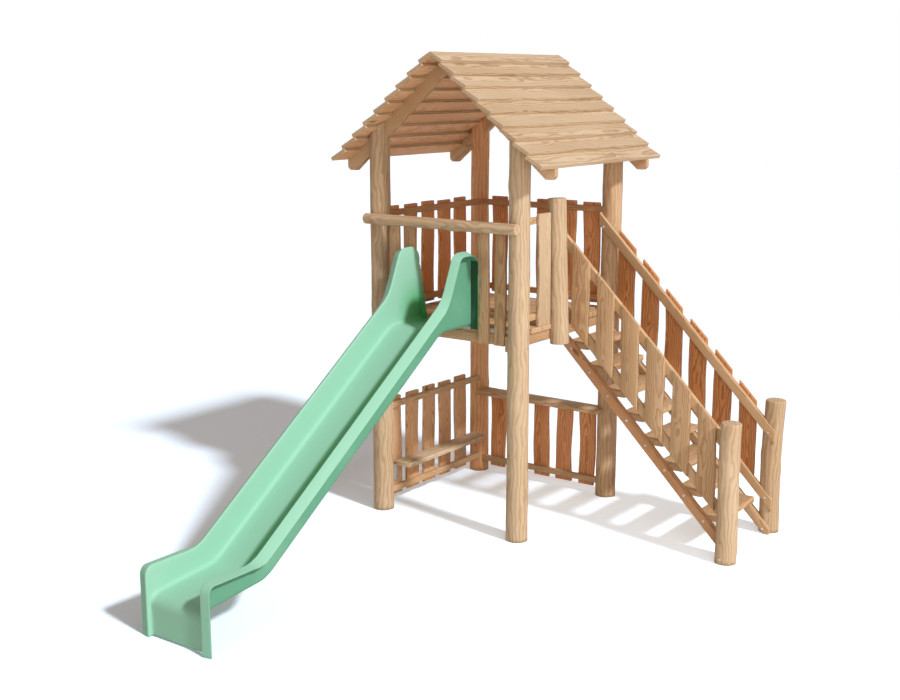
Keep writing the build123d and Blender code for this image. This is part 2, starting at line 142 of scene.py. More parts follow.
def buildPineGrain():
    look = grainLook
    tree, start, end = newGroup("pineGrain", (
        ("Grain Place", "NodeSocketVector"),
        ("Ring Spacing", "NodeSocketFloat", 0.013), ("Wander", "NodeSocketFloat", 0.03),
        ("Ring Depth", "NodeSocketFloat", 0.8), ("Knots", "NodeSocketFloat", 0.5),
        ("Early Wood", "NodeSocketColor"), ("Late Wood", "NodeSocketColor"),
        ("Heart Wood", "NodeSocketColor"), ("Knot Wood", "NodeSocketColor")))
    given = start.outputs
    place = given["Grain Place"]

    # knots: a few cells, drawn out along the grain
    cell = addNode(tree, "ShaderNodeTexVoronoi", voronoi_dimensions="3D", feature="F1")
    cell.inputs["Scale"].default_value = 1.0
    feed(tree, stretched(tree, place, look["knotCell"]), cell.inputs["Vector"])
    split = addNode(tree, "ShaderNodeSeparateColor")
    feed(tree, cell.outputs["Color"], split.inputs[0])
    knotLimit = mathNode(tree, "MULTIPLY", given["Knots"], look["knotShare"])
    chosen = mathNode(tree, "LESS_THAN", split.outputs[0], knotLimit)
    swirl, core = (mathNode(tree, "MULTIPLY", rampNode(tree, cell.outputs["Distance"], look[part]), chosen)
                   for part in ("knotSwirl", "knotCore"))

    # growth rings: distance from a heart line that wanders, ripples and bends round the knots
    axes = addNode(tree, "ShaderNodeSeparateXYZ")
    feed(tree, place, axes.inputs[0])
    across = mathNode(tree, "POWER", axes.outputs[1], 2.0)
    deep = mathNode(tree, "POWER", axes.outputs[2], 2.0)
    reach = mathNode(tree, "SQRT", mathNode(tree, "ADD", across, deep))
    for stretch, swing in (look["wander"], look["ripple"]):
        sway = mathNode(tree, "SUBTRACT", noiseNode(tree, stretched(tree, place, stretch)), 0.5)
        reach = addShare(tree, reach, sway, mathNode(tree, "MULTIPLY", given["Wander"], swing))
    reach = addShare(tree, reach, swirl, look["knotPush"])
    turns = mathNode(tree, "DIVIDE", reach, given["Ring Spacing"])
    ring = rampNode(tree, mathNode(tree, "FRACT", turns), look["ring"])

    # fibres, and pale and reddish areas along the board
    fibre = noiseNode(tree, stretched(tree, place, look["fibre"]))
    patch = noiseNode(tree, stretched(tree, place, look["patch"]))
    lifted = mathNode(tree, "ADD", patch, look["patchLift"])
    ringDark = mathNode(tree, "MULTIPLY", ring, mathNode(tree, "MULTIPLY", given["Ring Depth"], lifted), clamp=True)
    fibreOver = mathNode(tree, "SUBTRACT", fibre, look["fibreFrom"])
    fibreDark = mathNode(tree, "MULTIPLY", fibreOver, look["fibreDark"], clamp=True)
    coreDark = mathNode(tree, "MULTIPLY", core, look["coreDark"])
    colour = given["Early Wood"]
    for share, tone in ((rampNode(tree, patch, look["heartPatch"]), "Heart Wood"), (ringDark, "Late Wood"),
                        (fibreDark, "Late Wood"), (coreDark, "Knot Wood")):
        colour = mixColour(tree, share, colour, given[tone])
    feed(tree, colour, end.inputs["Color"])
    feed(tree, addShare(tree, look["roughness"], fibre, look["fibreRough"]), end.inputs["Roughness"])
    height = mathNode(tree, "MULTIPLY", ring, look["ringHeight"])
    height = addShare(tree, height, fibre, look["fibreHeight"])
    feed(tree, addShare(tree, height, core, look["coreHeight"]), end.inputs["Height"])
    return tree


# the skin of the moulding: soft clouds, fine specks and drag marks that run down the slide
skinLook = {
    "cloudScale": 3.2, "cloudDetail": 3.0, "cloudShare": 0.06, "speckScale": 260.0,
    "drag": (55.0, 2.2, 3.0), "dragDetail": 3.0, "scuff": ((0.52, 0.0), (0.75, 1.0)), "scuffShare": 0.16,
    "roughness": 0.34, "dragRough": 0.16,
}


def buildMouldSkin():
    look = skinLook
    tree, start, end = newGroup("mouldSkin", (("Base", "NodeSocketColor"), ("Scuffed", "NodeSocketColor")))
    place = addNode(tree, "ShaderNodeTexCoord").outputs["Object"]
    cloud = noiseNode(tree, place, look["cloudScale"], look["cloudDetail"])
    speck = noiseNode(tree, place, look["speckScale"])
    drag = noiseNode(tree, stretched(tree, place, look["drag"]), detail=look["dragDetail"])
    scuff = mathNode(tree, "MULTIPLY", rampNode(tree, drag, look["scuff"]), look["scuffShare"])
    colour = start.outputs["Base"]
    for share in (scuff, mathNode(tree, "MULTIPLY", cloud, look["cloudShare"])):
        colour = mixColour(tree, share, colour, start.outputs["Scuffed"])
    feed(tree, colour, end.inputs["Color"])
    feed(tree, addShare(tree, look["roughness"], drag, look["dragRough"]), end.inputs["Roughness"])
    feed(tree, speck, end.inputs["Height"])
    return tree


pineGrain = buildPineGrain()
mouldSkin = buildMouldSkin()


def newMaterial(name, fixed):
    # numbers that are the same all over the surface stay on the shader's own sockets
    material = bpy.data.materials.new(name)
    material.use_nodes = True
    shader = material.node_tree.nodes["Principled BSDF"]
    for label, value in fixed.items():
        shader.inputs[label].default_value = value
    return material, material.node_tree, shader


def addEffect(tree, shader, group, strength, distance):
    # a shared effect gives the shader its colour, roughness and bump
    effect = addNode(tree, "ShaderNodeGroup", node_tree=group)
    bump = addNode(tree, "ShaderNodeBump")
    bump.inputs["Strength"].default_value = strength
    bump.inputs["Distance"].default_value = distance
    feed(tree, effect.outputs["Color"], shader.inputs["Base Color"])
    feed(tree, effect.outputs["Roughness"], shader.inputs["Roughness"])
    feed(tree, effect.outputs["Height"], bump.inputs["Height"])
    feed(tree, bump.outputs["Normal"], shader.inputs["Normal"])
    return effect


woodFinish = {"knotTone": (0.19, 0.075, 0.03), "specular": 0.25, "bumpDistance": 0.0012}
grainKinds = {  # ring spacing and wander in metres, depth of the rings, how many knots, strength of the bump
    "log": {"spacing": 0.026, "wander": 0.024, "depth": 0.7, "knots": 0.45, "bump": 0.3},
    "sawn": {"spacing": 0.011, "wander": 0.014, "depth": 0.85, "knots": 0.3, "bump": 0.3},
    "board": {"spacing": 0.013, "wander": 0.018, "depth": 0.9, "knots": 0.5, "bump": 0.35},
    "boldBoard": {"spacing": 0.013, "wander": 0.018, "depth": 1.0, "knots": 0.5, "bump": 0.35},
    "roof": {"spacing": 0.013, "wander": 0.009, "depth": 0.95, "knots": 0.3, "bump": 0.3},
    "underRoof": {"spacing": 0.012, "wander": 0.016, "depth": 0.75, "knots": 0.3, "bump": 0.25},
}
woodTones = {  # kind of grain, then linear colours of the early, late and heart wood
    "peeledLog": ("log", (0.56, 0.43, 0.295), (0.31, 0.20, 0.11), (0.49, 0.345, 0.215)),
    # painted shade: redder copies of the peeled log stand in for the shade on the rear posts, the first of them half
    # way
    "halfShadedLog": ("log", (0.60, 0.42, 0.265), (0.33, 0.185, 0.09), (0.53, 0.335, 0.19)),
    "shadedLog": ("log", (0.74, 0.42, 0.22), (0.40, 0.175, 0.07), (0.64, 0.33, 0.16)),
    "sawnWood": ("sawn", (0.60, 0.42, 0.26), (0.35, 0.195, 0.09), (0.52, 0.34, 0.19)),
    "shadedWood": ("sawn", (0.58, 0.34, 0.185), (0.30, 0.13, 0.05), (0.50, 0.27, 0.13)),
    "wavyBoard": ("board", (0.54, 0.37, 0.225), (0.32, 0.18, 0.085), (0.47, 0.295, 0.16)),
    "paleBoard": ("board", (0.62, 0.50, 0.36), (0.38, 0.26, 0.155), (0.55, 0.41, 0.28)),
    # painted shade: a deeper, redder copy of the board for the far pickets, which stand in shade
    "shadedFarBoard": ("boldBoard", (0.61, 0.295, 0.125), (0.30, 0.108, 0.034), (0.52, 0.23, 0.092)),
    # painted light: a paler, warmer copy of the board stands in for the sunlight on the lower left boards
    "paintedSunBoard": ("board", (0.72, 0.47, 0.29), (0.42, 0.215, 0.10), (0.64, 0.37, 0.19)),
    # painted shade: a redder copy of the board for the inner boards of the tower, which stand in shade
    "shadedInnerBoard": ("board", (0.82, 0.41, 0.20), (0.41, 0.15, 0.055), (0.70, 0.32, 0.14)),
    "roofBoard": ("roof", (0.59, 0.465, 0.33), (0.34, 0.22, 0.125), (0.53, 0.395, 0.265)),
    # painted shade: a warmer, redder copy of the roof board for the undersides
    "shadedRoofUnderside": ("underRoof", (0.84, 0.54, 0.33), (0.56, 0.31, 0.16), (0.75, 0.45, 0.26)),
}


def woodMaterial(name, kind, early, late, heart):
    grain = grainKinds[kind]
    material, tree, shader = newMaterial(name, {"Specular IOR Level": woodFinish["specular"]})
    effect = addEffect(tree, shader, pineGrain, grain["bump"], woodFinish["bumpDistance"])
    place = addNode(tree, "ShaderNodeAttribute", attribute_name="grainPlace")
    feed(tree, place.outputs["Vector"], effect.inputs["Grain Place"])
    for label, value in (("Ring Spacing", grain["spacing"]), ("Wander", grain["wander"]),
                         ("Ring Depth", grain["depth"]), ("Knots", grain["knots"]),
                         ("Early Wood", opaque(early)), ("Late Wood", opaque(late)),
                         ("Heart Wood", opaque(heart)), ("Knot Wood", opaque(woodFinish["knotTone"]))):
        feed(tree, value, effect.inputs[label])
    return material


plasticLook = {  # linear colours: the trough, its painted shade, drag marks, the outside painted darker as shade, and the flange's back painted darkest as shadow
    "base": (0.287, 0.58, 0.455), "paintedShade": (0.02, 0.39, 0.085), "scuffed": (0.37, 0.66, 0.53),
    "outside": (0.10, 0.30, 0.20), "flange": (0.012, 0.055, 0.022),
    "specular": 0.1, "bump": 0.06, "bumpDistance": 0.0006,
}


def plasticMaterial():
    look = plasticLook
    material, tree, shader = newMaterial("mouldedMint", {"Specular IOR Level": look["specular"]})
    skin = addEffect(tree, shader, mouldSkin, look["bump"], look["bumpDistance"])
    outside, paintedShade = (addNode(tree, "ShaderNodeAttribute", attribute_name=mask).outputs["Fac"]
                       for mask in ("outside", "paintedShade"))
    # the painted shade deepens the trough's green
    inner = mixColour(tree, paintedShade, opaque(look["base"]), opaque(look["paintedShade"]))
    outer = mixColour(tree, paintedShade, opaque(look["outside"]), opaque(look["flange"]))
    feed(tree, mixColour(tree, outside, inner, outer), skin.inputs["Base"])
    feed(tree, opaque(look["scuffed"]), skin.inputs["Scuffed"])
    return material


steelLook = {
    "dull": (0.50, 0.54, 0.58), "bright": (0.68, 0.72, 0.75), "metallic": 0.9,
    "spangle": 120.0, "roughness": 0.36, "spangleRough": 0.2, "edge": 0.0008,
}


def steelMaterial():
    look = steelLook
    material, tree, shader = newMaterial("galvanisedSteel", {"Metallic": look["metallic"]})
    spangle = addNode(tree, "ShaderNodeTexVoronoi")
    spangle.inputs["Scale"].default_value = look["spangle"]
    feed(tree, addNode(tree, "ShaderNodeTexCoord").outputs["Object"], spangle.inputs["Vector"])
    split = addNode(tree, "ShaderNodeSeparateColor")
    feed(tree, spangle.outputs["Color"], split.inputs[0])
    colour = mixColour(tree, split.outputs[0], opaque(look["dull"]), opaque(look["bright"]))
    feed(tree, colour, shader.inputs["Base Color"])
    rough = addShare(tree, look["roughness"], split.outputs[1], look["spangleRough"])
    feed(tree, rough, shader.inputs["Roughness"])
    return material


wood = {name: woodMaterial(name, *tone) for name, tone in woodTones.items()}
mouldedMint = plasticMaterial()
galvanisedSteel = steelMaterial()
print("materials ready")


def finishMesh(bm, name):
    mesh = bpy.data.meshes.new(name)
    bm.to_mesh(mesh)
    bm.free()
    return mesh


def putMesh(name, mesh, material, replaced=()):
    mesh.materials.clear()
    mesh.materials.append(material)
    piece = bpy.data.objects.new(name, mesh)
    scene.collection.objects.link(piece)
    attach(piece, "root")
    if replaced:
        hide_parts(*replaced)
    return piece


cleanPlan = {"join": 1e-5, "flatAngle": 0.5}


def cleanCopy(nodeName):
    # the solid's mesh, with the triangles of each flat face joined again
    bm = bmesh.new()
    bm.from_mesh(nodes[nodeName].data)
    bmesh.ops.remove_doubles(bm, verts=bm.verts, dist=cleanPlan["join"])
    flat = math.radians(cleanPlan["flatAngle"])
    bmesh.ops.dissolve_limit(bm, angle_limit=flat, verts=bm.verts, edges=bm.edges)
    return bm


def joinRows(bm, first, second):
    for a, b, c, d in zip(first, first[1:], second[1:], second):
        bm.faces.new((a, b, c, d))


def joinRings(bm, lower, upper):
    joinRows(bm, lower + lower[:1], upper + upper[:1])


def islandsOf(bm):
    bm.verts.index_update()
    seen = set()
    groups = []
    for vert in bm.verts:
        if vert.index in seen:
            continue
        stack, group = [vert], []
        seen.add(vert.index)
        while stack:
            here = stack.pop()
            group.append(here)
            for edge in here.link_edges:
                other = edge.other_vert(here)
                if other.index not in seen:
                    seen.add(other.index)
                    stack.append(other)
        groups.append(group)
    return groups


def grainFrame(along):
    along = Vector(along).normalized()
    helper = Vector((0, 0, 1)) if abs(along.z) < 0.9 else Vector((0, 1, 0))
    across = along.cross(helper).normalized()
    return Matrix((along, across, along.cross(across)))


figurePlan = {"along": 9, "aside": 0.03}  # how far apart the planks are cut from their log


def markGrain(bm, along, heartDeep):
    # each plank gets its own place in an endless log, its heart a little outside the face
    layer = bm.verts.layers.float_vector.new("grainPlace")
    turn = grainFrame(along)
    far, aside = figurePlan["along"], figurePlan["aside"]
    for group in islandsOf(bm):
        middle = sum((vert.co for vert in group), Vector()) / len(group)
        shift = Vector((chance.uniform(-far, far), chance.uniform(-aside, aside),
                        chance.choice((-1, 1)) * chance.uniform(*heartDeep)))
        for vert in group:
            vert[layer] = turn @ (vert.co - middle) + shift


edgePlan = {"segments": 2, "sharpAngle": 38}


def softenEdges(piece, width, sharpAngle=edgePlan["sharpAngle"], harden=True):
    bevel = piece.modifiers.new("worn edges", "BEVEL")
    bevel.width = width
    bevel.segments = edgePlan["segments"]
    bevel.limit_method = "ANGLE"
    bevel.angle_limit = math.radians(sharpAngle)
    bevel.harden_normals = harden
    for polygon in piece.data.polygons:
        polygon.use_smooth = True


# the deck, railings, counter, bench, stair and rafters keep the solids' own shapes;
# heartDeep is how far behind its face the heart of a board lies
plankPlan = {"heartDeep": (0.02, 0.06), "edges": {"sawn": 0.003, "seat": 0.004, "natural": 0.005}}
stairSlope = {"rise": 0.154, "going": 0.153}
alongX, alongY, upright = (1, 0, 0), (0, 1, 0), (0, 0, 1)
downStair = (stairSlope["going"], 0, -stairSlope["rise"])
upRoof, downRoof = (0.762, 0, 0.648), (0.762, 0, -0.648)
plankJobs = (  # node, run of the grain, tone, slot and kind of edge
    ("deck_beam_front", alongX, "sawnWood", "sawn_wood", "sawn"),
    ("deck_beam_rear", alongX, "sawnWood", "sawn_wood", "sawn"),
    ("deck_beam_left", alongY, "sawnWood", "sawn_wood", "sawn"),
    ("deck_beam_right", alongY, "wavyBoard", "sawn_wood", "sawn"),
    ("deck_boards", alongX, "sawnWood", "deck_wood", "sawn"),
    ("left_rails_upper", alongY, "shadedWood", "sawn_wood", "sawn"),
    ("left_rails_lower", alongY, "sawnWood", "sawn_wood", "sawn"),
    ("rear_rails_upper", alongX, "shadedWood", "sawn_wood", "sawn"),
    ("rear_rail_lower", alongX, "sawnWood", "sawn_wood", "sawn"),
    ("front_rail", alongX, "sawnWood", "sawn_wood", "sawn"),
    ("short_rails", alongY, "sawnWood", "sawn_wood", "sawn"),
    # the inner boards take the tone of painted shade
    ("left_boards_upper", upright, "shadedInnerBoard", "wavy_board_wood", "natural"),
    # the lower left boards take the tone of painted sunlight
    ("left_boards_lower", upright, "paintedSunBoard", "wavy_board_wood", "natural"),
    ("rear_boards_upper", upright, "shadedInnerBoard", "wavy_board_wood", "natural"),
    ("rear_boards_lower", upright, "shadedInnerBoard", "wavy_board_wood", "natural"),
    ("front_boards_left", upright, "wavyBoard", "wavy_board_wood", "natural"),
    ("front_boards_right", upright, "wavyBoard", "wavy_board_wood", "natural"),
    ("short_board", upright, "paleBoard", "wavy_board_wood", "natural"),
    ("counter", alongX, "sawnWood", "sawn_wood", "seat"),
    ("bench_seat", alongY, "paleBoard", "sawn_wood", "seat"),
    ("stair_stringer_near", downStair, "shadedWood", "stair_wood", "sawn"),
    ("stair_stringer_far", downStair, "wavyBoard", "stair_wood", "sawn"),
    ("stair_rails_near", downStair, "sawnWood", "stair_wood", "natural"),
    ("stair_rails_far", downStair, "sawnWood", "stair_wood", "natural"),
    ("stair_pickets_near", upright, "wavyBoard", "stair_wood", "natural"),
    # the far pickets take the tone of painted shade
    ("stair_pickets_far", upright, "shadedFarBoard", "stair_wood", "natural"),
    ("stair_treads", alongY, "sawnWood", "stair_wood", "seat"),
    ("rafter_front_left", upRoof, "sawnWood", "sawn_wood", "sawn"),
    ("rafter_front_right", downRoof, "sawnWood", "sawn_wood", "sawn"),
    ("rafter_rear_left", upRoof, "sawnWood", "sawn_wood", "sawn"),
    ("rafter_rear_right", downRoof, "sawnWood", "sawn_wood", "sawn"),
)
for nodeName, along, tone, slotName, edge in plankJobs:
    planks = cleanCopy(nodeName)
    markGrain(planks, along, plankPlan["heartDeep"])
    mesh = finishMesh(planks, nodeName + "_dressed")
    piece = putMesh(nodeName + "_dressed", mesh, wood[tone], (nodeName,))
    softenEdges(piece, plankPlan["edges"][edge])
print("planks dressed:", len(plankJobs))


logLook = {  # lengths in metres; waves are the size round the log and the pace along it
    "around": 64, "step": 0.03, "taper": 1.6, "heart": (0.11, 0.05), "figure": 9,
    "wave": (0.8, 2.3), "fine": (2.2, 7.0), "fineShare": 0.35,
    "knotPlaces": (0.08, 0.92), "knotHeights": (0.003, 0.007), "knotLong": 0.05, "knotWide": 0.035,
}


def logStops(length, radii, shape):
    # places along the log from 0 to 1, each with the share of the radius that a rounded end leaves
    count = max(8, int(length / logLook["step"]))
    stops = [(i / count, 1.0) for i in range(count + 1)]
    quarter = [math.radians(15 * k) for k in range(7)]
    if "roundTop" in shape:
        edge = shape["roundTop"]
        stops = [stop for stop in stops if stop[0] < 1 - edge / length] + [
            (1 - edge * (1 - math.sin(a)) / length, 1 - (edge / radii[1]) * (1 - math.cos(a))) for a in quarter]
    if "roundFoot" in shape:
        edge = shape["roundFoot"]
        stops = [(edge * (1 - math.sin(a)) / length, 1 - (edge / radii[0]) * (1 - math.cos(a)))
                 for a in quarter[::-1]] + [stop for stop in stops if stop[0] > edge / length]
    return stops


def logPiece(nodeName, tone, shape):
    # a peeled log swept from foot to top: slightly oval, with knots, flats and rounded ends
    look = logLook
    foot, axis, radii = Vector(shape["foot"]), Vector(shape["top"]) - Vector(shape["foot"]), shape["radii"]
    turn, length = grainFrame(axis), axis.length
    seed = Vector((chance.uniform(0, 50), chance.uniform(0, 50), chance.uniform(0, 50)))
    # the figure runs up the log as on a sawn face
    shift = Vector((chance.uniform(-look["figure"], look["figure"]), *look["heart"]))
    knots = [(chance.uniform(*look["knotPlaces"]), chance.uniform(0, math.tau), chance.uniform(*look["knotHeights"]))
             for _ in range(shape["knots"])]
    bm = bmesh.new()
    layer = bm.verts.layers.float_vector.new("grainPlace")
    rows = []
    for t, inset in logStops(length, radii, shape):
        radius = (radii[0] + (radii[1] - radii[0]) * min(1.0, look["taper"] * t)) * inset
        bend = shape["bend"](t) if "bend" in shape else Vector()
        row = []
        for j in range(look["around"]):
            angle = math.tau * j / look["around"]
            side = turn[1] * math.cos(angle) + turn[2] * math.sin(angle)
            wave, fine = (
                noise.noise(seed + Vector((math.cos(angle) * size, math.sin(angle) * size, t * length * pace)))
                for size, pace in (look["wave"], look["fine"]))
            swell = shape["rough"] * (wave + look["fineShare"] * fine)
            for place, heading, height in knots:
                lengthways = (t - place) * length / look["knotLong"]
                sideways = math.remainder(angle - heading, math.tau) * radius / look["knotWide"]
                swell += height * math.exp(-(lengthways ** 2 + sideways ** 2))
            co = foot + axis * t + bend + side * (radius + swell * inset)
            if "cap" in shape:
                co = shape["cap"](co, t)
            co.z = max(co.z, 0.0)
            vert = bm.verts.new(co)
            vert[layer] = turn @ (co - foot - bend) + shift
            row.append(vert)
        rows.append(row)
    for lower, upper in zip(rows, rows[1:]):
        joinRings(bm, lower, upper)
    for row, flip in ((rows[0], True), (rows[-1], False)):
        middle = bm.verts.new(sum((vert.co for vert in row), Vector()) / len(row))
        middle[layer] = turn @ (middle.co - foot) + shift
        for a, b in zip(row, row[1:] + row[:1]):
            bm.faces.new((middle, b, a) if flip else (a, b, middle))
    bmesh.ops.recalc_face_normals(bm, faces=bm.faces)
    name = nodeName + "_log"
    mesh = finishMesh(bm, name)
    for polygon in mesh.polygons:
        polygon.use_smooth = len(polygon.vertices) == 4 or "roundTop" in shape
    putMesh(name, mesh, wood[tone], (nodeName,))


roofLine = {"eaveX": -0.298, "eaveZ": 2.6434, "slope": 0.85, "under": 0.038, "middle": 0.605}


def underRoof(co, t):
    # the post's top meets the boards, so every height is drawn down in proportion
    off = roofLine["middle"] - abs(co.x - roofLine["middle"])
    limit = roofLine["eaveZ"] + (off - roofLine["eaveX"]) * roofLine["slope"] - roofLine["under"]
    return Vector((co.x, co.y, t * limit))


crookPlan = {"pace": 4.2, "sideShare": 0.5, "sidePace": 3.6, "sidePhase": 2}


def crooked(amount, phase):
    # a slight bow one way and half as much the other, with none at the foot
    plan, start = crookPlan, crookPlan["sidePhase"]
    return lambda t: Vector((
        amount * math.sin(phase + plan["pace"] * t) - amount * math.sin(phase),
        plan["sideShare"] * amount * (math.sin(start + plan["sidePace"] * t) - math.sin(start)), 0))


postPlan = {"spacingX": 1.21, "spacingY": 1.266, "height": 2.87, "radii": (0.0775, 0.0735),
            "knots": 7, "rough": 0.0035}
# the rear posts take tones of painted shade: the left one in full, the right one half way
for tag, x, y, tone in (("front_left", 0, 0, "peeledLog"), ("front_right", 1, 0, "peeledLog"),
                        ("rear_left", 0, 1, "shadedLog"), ("rear_right", 1, 1, "halfShadedLog")):
    at = (x * postPlan["spacingX"], y * postPlan["spacingY"])
    logPiece("post_" + tag, tone,
             {**postPlan, "foot": (*at, 0), "top": (*at, postPlan["height"]), "cap": underRoof})

newelPlan = {"near": (2.59, 0.461), "far": (2.575, 1.24), "height": 0.975, "lean": 0.014,
             "radii": (0.073, 0.07), "knots": 5, "rough": 0.005, "roundTop": 0.012}
for side, bow, phase in (("near", 0.005, 1.0), ("far", 0.008, 2.4)):
    x, y = newelPlan[side]
    logPiece("newel_" + side, "peeledLog",
             {**newelPlan, "foot": (x, y, 0), "top": (x + newelPlan["lean"], y, newelPlan["height"]),
              "bend": crooked(bow, phase)})

newelTopPlan = {"foot": (1.26, 0.459, 1.352), "top": (1.22, 0.459, 2.385), "radii": (0.069, 0.066),
                "knots": 5, "rough": 0.004, "roundTop": 0.01, "roundFoot": 0.006}
logPiece("newel_top", "peeledLog", newelTopPlan)

handlebarPlan = {"foot": (-0.053, -0.108, 2.214), "top": (1.263, -0.108, 2.214), "radii": (0.038, 0.038),
                 "knots": 4, "rough": 0.0022, "roundTop": 0.006, "roundFoot": 0.006}
logPiece("handlebar", "peeledLog", handlebarPlan)
print("logs turned")


roofPlan = {
    "courses": 9, "run": 0.1, "rise": 0.085, "pitch": 29.0, "thick": 0.026, "width": 0.144,
    "front": -0.198, "rear": 1.452, "ridge": 3.383, "middle": 0.605,
    "ridgeGap": 0.003, "topLap": 0.0028, "endGap": 0.0005, "wobble": 0.0004, "edge": 0.0025,
    "heartDeep": (0.06, 0.12), "shelter": -0.5,  # faces that look down more than this get the warmer tone of painted shade
}


def roofCourses(side, sign):
    plan = roofPlan
    bm = bmesh.new()
    pitch = math.radians(plan["pitch"])
    up = Vector((math.cos(pitch), 0, math.sin(pitch)))
    down = Vector((math.sin(pitch), 0, -math.cos(pitch))) * plan["thick"]
    topTip = plan["ridge"] - (plan["run"] + plan["ridgeGap"]) * math.tan(pitch)
    for i in range(plan["courses"]):
        tip = Vector((plan["middle"] - plan["run"] * (plan["courses"] - i) - plan["ridgeGap"], 0,
                      topTip - plan["rise"] * (plan["courses"] - 1 - i)))
        last = i == plan["courses"] - 1
        width = (plan["run"] + plan["topLap"]) / math.cos(pitch) if last else plan["width"]
        corners = [tip, tip + up * width, tip + up * width + down, tip + down]
        if last:  # the top course is cut plumb at the ridge
            corners[2] = corners[1] - Vector((0, 0, plan["thick"] / math.cos(pitch)))
        ends = []
        for y in (plan["front"] + plan["endGap"], plan["rear"] - plan["endGap"]):
            wobble = chance.uniform(-plan["wobble"], plan["wobble"])
            ends.append([bm.verts.new((plan["middle"] + sign * (plan["middle"] - corner.x), y + wobble, corner.z))
                         for corner in corners])
        front, rear = ends
        bm.faces.new(front)
        bm.faces.new(rear[::-1])
        for k, n in ((0, 1), (1, 2), (2, 3), (3, 0)):
            bm.faces.new((front[k], rear[k], rear[n], front[n]))
    bmesh.ops.recalc_face_normals(bm, faces=bm.faces)
    markGrain(bm, alongY, plan["heartDeep"])
    name = "roof_courses_" + side
    mesh = finishMesh(bm, name)
    piece = putMesh(name, mesh, wood["roofBoard"], ("roof_boards_" + side,))
    # the downward faces take the tone of painted shade
    mesh.materials.append(wood["shadedRoofUnderside"])
    for polygon in mesh.polygons:
        polygon.material_index = 1 if polygon.normal.z < plan["shelter"] else 0
    softenEdges(piece, plan["edge"])


roofCourses("left", -1)
roofCourses("right", 1)
print("roof boarded")


# the moulded slide: lines run from its foot up to the deck, as (y, z) in metres
slideShape = {
    "middle": 0.605, "wall": 0.222, "crest": 0.230, "outer": 0.287, "shell": 0.008, "fillet": 0.028,
    "rear": -0.0286, "tongue": 0.056, "deck": 1.5083, "flangeLow": 1.485, "bend": 1.900,
    "crestLine": [(-2.650, 0.0), (-2.650, 0.434), (-2.240, 0.434), (-0.382, 1.7253),
                  (-0.245, 2.040), (-0.0286, 2.040), (-0.0286, 1.900)],
    "crestRadii": [0.060, 0.240, 0.260, 0.090, 0.100],
    "floorLine": [(-2.622, 0.012), (-2.622, 0.253), (-2.108, 0.2998), (-0.3692, 1.5083), (-0.0286, 1.5083)],
    "floorRadii": [0.070, 0.240, 0.200], "arcStep": 4,
    # how far the rim hangs over on each straight of the crest
    "droops": [0.012, 0.008, 0.042, 0.024, 0.024, 0.0], "droopBlend": 0.12, "tangentReach": 0.012,
    # the section: where its points lie across the rim, down the wall and over the floor
    "lipShares": (0.0, 0.06, 0.25, 0.5, 0.75, 0.9), "lipFall": 1.15, "lipRound": 0.009, "filletMost": 0.55,
    "wallShares": (0.2, 0.4, 0.6, 0.8), "floorShares": (0.72, 0.48, 0.24, 0.08, 0.0),
    # corners of the crest and of the floor that stand opposite each other, and the steps between them
    "crestKeys": [0, 1, 2, 3, 6], "floorKeys": [0, 1, 2, 3, 4], "steps": [14, 18, 44, 40],
    # the end at the deck, and the softened edges
    "flangePoints": 9, "flangeSteps": 12, "cheekSteps": 8, "cheekFront": 0.008, "cheekBack": 0.002,
    "tongueAcross": (-0.222, -0.07, 0.07, 0.222), "edge": 0.0025, "edgeAngle": 50,
}


def clamped(value):
    return min(max(value, 0.0), 1.0)


def roundedLine(points, radii):
    # the line with its corners turned on arcs, the lengths along it, and the place of each corner
    points = [Vector((0, y, z)) for y, z in points]
    line, corners = [points[0]], []
    for a, b, c, radius in zip(points, points[1:], points[2:], radii):
        inward, outward = (b - a).normalized(), (c - b).normalized()
        turn = inward.angle(outward)
        reach = radius * math.tan(turn / 2)
        first, last = b - inward * reach, b + outward * reach
        centre = first + (outward - inward * outward.dot(inward)).normalized() * radius
        count = max(6, int(math.degrees(turn) / slideShape["arcStep"]))
        spoke, goal = (first - centre).normalized(), (last - centre).normalized()
        for k in range(count + 1):
            line.append(centre + spoke.slerp(goal, k / count) * radius)
        corners.append(int(len(line) - 1 - count / 2))
    line.append(points[-1])
    lengths = [0.0]
    for p, q in zip(line, line[1:]):
        lengths.append(lengths[-1] + (q - p).length)
    return line, lengths, [0.0] + [lengths[k] for k in corners] + [lengths[-1]]


def alongLine(path, distance):
    line, lengths, _ = path
    distance = min(max(distance, 0.0), lengths[-1])
    i = next(k for k in range(len(line) - 1) if distance <= lengths[k + 1] or k == len(line) - 2)
    span = max(lengths[i + 1] - lengths[i], 1e-9)
    return line[i].lerp(line[i + 1], (distance - lengths[i]) / span)


def smoothTangent(path, distance):
    reach = slideShape["tangentReach"]
    return (alongLine(path, distance + reach) - alongLine(path, distance - reach)).normalized()


def droopAt(path, distance):
    # the rim's droop changes from straight to straight across each bend
    places, droops = path[2], slideShape["droops"]
    value = droops[0]
    for place, before, after in zip(places[1:-1], droops, droops[1:]):
        share = clamped((distance - place) / slideShape["droopBlend"] + 0.5)
        value += (after - before) * share * share * (3 - 2 * share)
    return value


